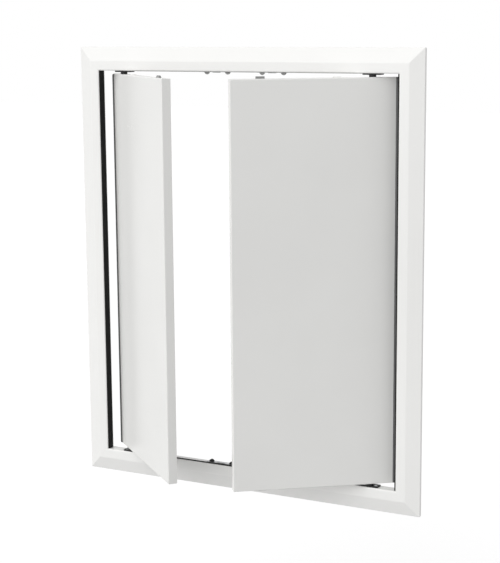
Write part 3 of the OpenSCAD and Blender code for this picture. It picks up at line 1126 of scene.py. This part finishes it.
@dataclass
class Leaf:
    """One of the two leaves, with the dark cord on its bead, which paints the shade on its hinge edge,
    and the ejector marks in its rib cells.
    """

    side: Side
    columns: int = 5
    column_start: float = 26.25 * MM
    column_pitch: float = 44.5 * MM
    rows: int = 10
    row_pitch: float = 55.3 * MM
    wall_back: float = -9 * MM
    ring_radius: float = 3.4 * MM
    ring_height: float = 0.25 * MM
    ring_sunk: float = 0.05 * MM
    ring_chamfer: float = 0.08 * MM
    ring_crest: float = 0.2 * MM
    ring_slope: float = 0.17 * MM
    ring_floor: float = 0.03 * MM
    edge_radius: float = 0.3 * MM
    edge_crease_deg: float = 30.0
    straight_run: float = 8 * MM
    cord_radius: float = 2.0 * MM
    cord_half: float = 278.5 * MM
    cord_x: float = 226.9 * MM
    cord_y: float = -11.2 * MM
    cap_steps: int = 6
    steps: int = 32
    shade_deg: float = 50.0
    body: str = field(init=False)
    hand: float = field(init=False)
    opened: Matrix = field(init=False)

    def __post_init__(self) -> None:
        """Names the leaf's body, and finds its hand and its turn from closed to rest."""
        self.body = f"{self.side.value}_leaf"
        self.hand = -1.0 if self.side is Side.LEFT else 1.0
        self.opened = self._opened()

    def build(self) -> None:
        """Rounds the panel's crisp edges, dresses the bead and adds its cord in a dark grey that paints
        the shade on the hinge edge, and adds the rings.
        """
        rounder = EdgeRounder(
            radius=self.edge_radius,
            segments=2,
            crease_deg=self.edge_crease_deg,
            wanted=self._is_long,
        )
        rounder.build(f"{self.body}_panel", self.body, GLOSS_WHITE)
        # The bead is dressed in dark grey as painted shade on the hinge edge.
        dress(f"{self.body}_edge_bead", HINGE_EDGE_PAINTED_SHADE)
        self._lay_shade_cord()
        self._rings()

    def _is_long(self, edge: bmesh.types.BMEdge) -> bool:
        """Tests whether an edge is a straight run, and not part of a round boss or rim."""
        return edge.calc_length() > self.straight_run

    def _lay_shade_cord(self) -> None:
        """Lays a round-ended dark cord along the bead, a little proud of the leaf's face, as painted
        shade on the hinge edge.
        """
        radius, reach = self.cord_radius, self.cord_half - self.cord_radius
        outline = []
        for step in range(self.cap_steps + 1):
            turn = math.pi / 2 * step / self.cap_steps
            outline.append((radius * math.sin(turn), -reach - radius * math.cos(turn)))
        outline += [(across, -height) for across, height in reversed(outline)]
        work = bmesh.new()
        spin_round(work, outline, self.steps)
        bmesh.ops.recalc_face_normals(work, faces=work.faces)
        place = self.opened @ Matrix.Translation((self.hand * self.cord_x, self.cord_y, 0.0))
        bmesh.ops.transform(work, matrix=place, verts=work.verts)
        finish_piece(work, f"{self.body}_edge_cord", self.body, HINGE_EDGE_PAINTED_SHADE, self.shade_deg)

    def _rings(self) -> None:
        """Sets a ring in each rib cell, apart from those that hold a pin."""
        one = self._ring()
        upright = Matrix.Rotation(-math.pi / 2, 4, "X")
        work = bmesh.new()
        last_column, last_row = self.columns - 1, self.rows - 1
        for column in range(self.columns):
            across = self.hand * (self.column_start + column * self.column_pitch)
            for row in range(self.rows):
                if column == last_column and row in (0, last_row):
                    continue
                height = (row - last_row / 2) * self.row_pitch
                spot = Matrix.Translation((across, self.wall_back, height))
                stamp(work, one, self.opened @ spot @ upright)
        bpy.data.meshes.remove(one)
        finish_piece(work, f"{self.body}_ejector_marks", self.body, GLOSS_WHITE, self.shade_deg)

    def _ring(self) -> bpy.types.Mesh:
        """Builds one ring, which rises along z.

        Returns:
            Its mesh.
        """
        height = self.ring_height
        outer = self.ring_radius - self.ring_chamfer
        inner = outer - self.ring_crest
        work = bmesh.new()
        spin_round(
            work,
            [
                (self.ring_radius, -self.ring_sunk),
                (self.ring_radius, height - self.ring_chamfer),
                (outer, height),
                (inner, height),
                (inner - self.ring_slope, self.ring_floor),
                (0.0, self.ring_floor),
            ],
            self.steps,
        )
        return as_mesh(work, "ejector_mark")

    def _opened(self) -> Matrix:
        """Finds how far the leaf stands open at rest.

        Returns:
            The turn from the closed leaf to the leaf at rest.
        """
        joint = next(item for item in frame["joints"] if item["child"] == self.body)
        pivot = Matrix.Translation(joint["pos_m"])
        turn = Matrix.Rotation(math.radians(-joint["range_deg"][0]), 4, Vector(joint["axis"]))
        return pivot @ turn @ pivot.inverted()


@dataclass(frozen=True)
class PhotoCamera:
    """The viewpoint of the photograph: turned to the panel from the right, tilted down."""

    place: tuple[float, float, float] = (0.972, -1.837, 0.3564)
    turn_deg: float = 27.745
    tilt_deg: float = 10.021
    roll_deg: float = 0.451
    lens: float = 95.13
    sensor: float = 36.0

    def build(self) -> None:
        """Makes the camera and hands it to the scene."""
        data = bpy.data.cameras.new("photo_camera")
        data.lens = self.lens
        data.sensor_width = self.sensor
        camera = bpy.data.objects.new("photo_camera", data)
        camera.matrix_world = (
            Matrix.Translation(self.place)
            @ Matrix.Rotation(math.radians(self.turn_deg), 4, "Z")
            @ Matrix.Rotation(math.radians(90.0 - self.tilt_deg), 4, "X")
            @ Matrix.Rotation(math.radians(-self.roll_deg), 4, "Z")
        )
        bpy.context.scene.collection.objects.link(camera)
        bpy.context.scene.camera = camera


@dataclass(frozen=True)
class SkyPanel:
    """A broad, even light from far off, in a given direction."""

    name: str
    turn_deg: float
    rise_deg: float
    spread_deg: float
    level: float

    def build(self) -> None:
        """Makes the light, so that a white face turned to it gains the given level."""
        data = bpy.data.lights.new(self.name, "SUN")
        data.angle = math.radians(self.spread_deg)
        data.energy = self.level * math.pi
        light = bpy.data.objects.new(self.name, data)
        turn, rise = math.radians(self.turn_deg), math.radians(self.rise_deg)
        reach = math.cos(rise)
        away = Vector((math.sin(turn) * reach, -math.cos(turn) * reach, math.sin(rise)))
        light.location = away
        light.rotation_euler = (-away).to_track_quat("-Z", "Y").to_euler()
        bpy.context.scene.collection.objects.link(light)


@dataclass
class Studio:
    """White floor and surround, and a broad light from the upper left in front."""

    ambient: float = 0.63
    floor_drop: float = 0.25
    floor_half: float = 12.0
    floor_color: Color = (0.5, 0.5, 0.5)
    floor_glow: float = 0.6
    light: SkyPanel = SkyPanel("front_light", turn_deg=-22.0, rise_deg=27.0, spread_deg=80.0, level=0.55)

    def build(self) -> None:
        """Makes the surround, the floor, the light and the camera."""
        bpy.context.scene.view_settings.view_transform = "Standard"
        self._surround()
        self._floor()
        self.light.build()
        PhotoCamera().build()

    @staticmethod
    def _seen(sheet: NodeSheet) -> bpy.types.NodeSocket:
        """Finds the rays that see the background itself.

        Args:
            sheet: a node sheet.

        Returns:
            1 for camera, glossy and transmission rays, and 0 for the rest.
        """
        path = sheet.add("ShaderNodeLightPath").outputs
        mirrored = sheet.math("MAXIMUM", path["Is Glossy Ray"], path["Is Transmission Ray"])
        return sheet.math("MAXIMUM", path["Is Camera Ray"], mirrored)

    def _surround(self) -> None:
        """Makes the world: white where it is seen, and a plain level of light elsewhere."""
        world = bpy.data.worlds.new("white_surround")
        world.use_nodes = True
        sheet = NodeSheet(world.node_tree)
        strength = sheet.spread(self._seen(sheet), Effects.FULL_SPAN, self.ambient, 1.0)
        light = sheet.add("ShaderNodeBackground", Color=opaque((1.0, 1.0, 1.0)), Strength=strength)
        sheet.add("ShaderNodeOutputWorld", Surface=light.outputs["Background"])
        bpy.context.scene.world = world

    def _floor(self) -> None:
        """Makes the floor, which looks white and keeps the panel's shadow."""
        work = bmesh.new()
        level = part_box("frame_sill")[0].z - self.floor_drop
        bmesh.ops.create_grid(work, x_segments=1, y_segments=1, size=self.floor_half)
        bmesh.ops.translate(work, verts=work.verts, vec=(0.0, 0.0, level))
        mesh = bpy.data.meshes.new("studio_floor")
        work.to_mesh(mesh)
        work.free()
        floor = bpy.data.objects.new("studio_floor", mesh)
        bpy.context.scene.collection.objects.link(floor)
        material = bpy.data.materials.new("studio_floor")
        material.use_nodes = True
        sheet = NodeSheet(material.node_tree)
        matt = sheet.add("ShaderNodeBsdfDiffuse", Color=opaque(self.floor_color))
        strength = sheet.math("MULTIPLY", self._seen(sheet), self.floor_glow)
        glow = sheet.add("ShaderNodeEmission", Strength=strength)
        both = sheet.tree.nodes.new("ShaderNodeAddShader")
        sheet.feed(both.inputs[0], matt.outputs["BSDF"])
        sheet.feed(both.inputs[1], glow.outputs["Emission"])
        sheet.add("ShaderNodeOutputMaterial", Surface=both.outputs["Shader"])
        mesh.materials.append(material)


def main() -> None:
    """Builds the panel's sub-assemblies and the studio."""
    logging.basicConfig(level=logging.INFO, format="%(name)s: %(message)s")
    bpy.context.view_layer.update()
    FrameAssembly().build()
    SealSet().build()
    PivotSet().build()
    CatchSet().build()
    for side in Side:
        Leaf(side).build()
    Studio().build()


if __name__ == "__main__":
    main()
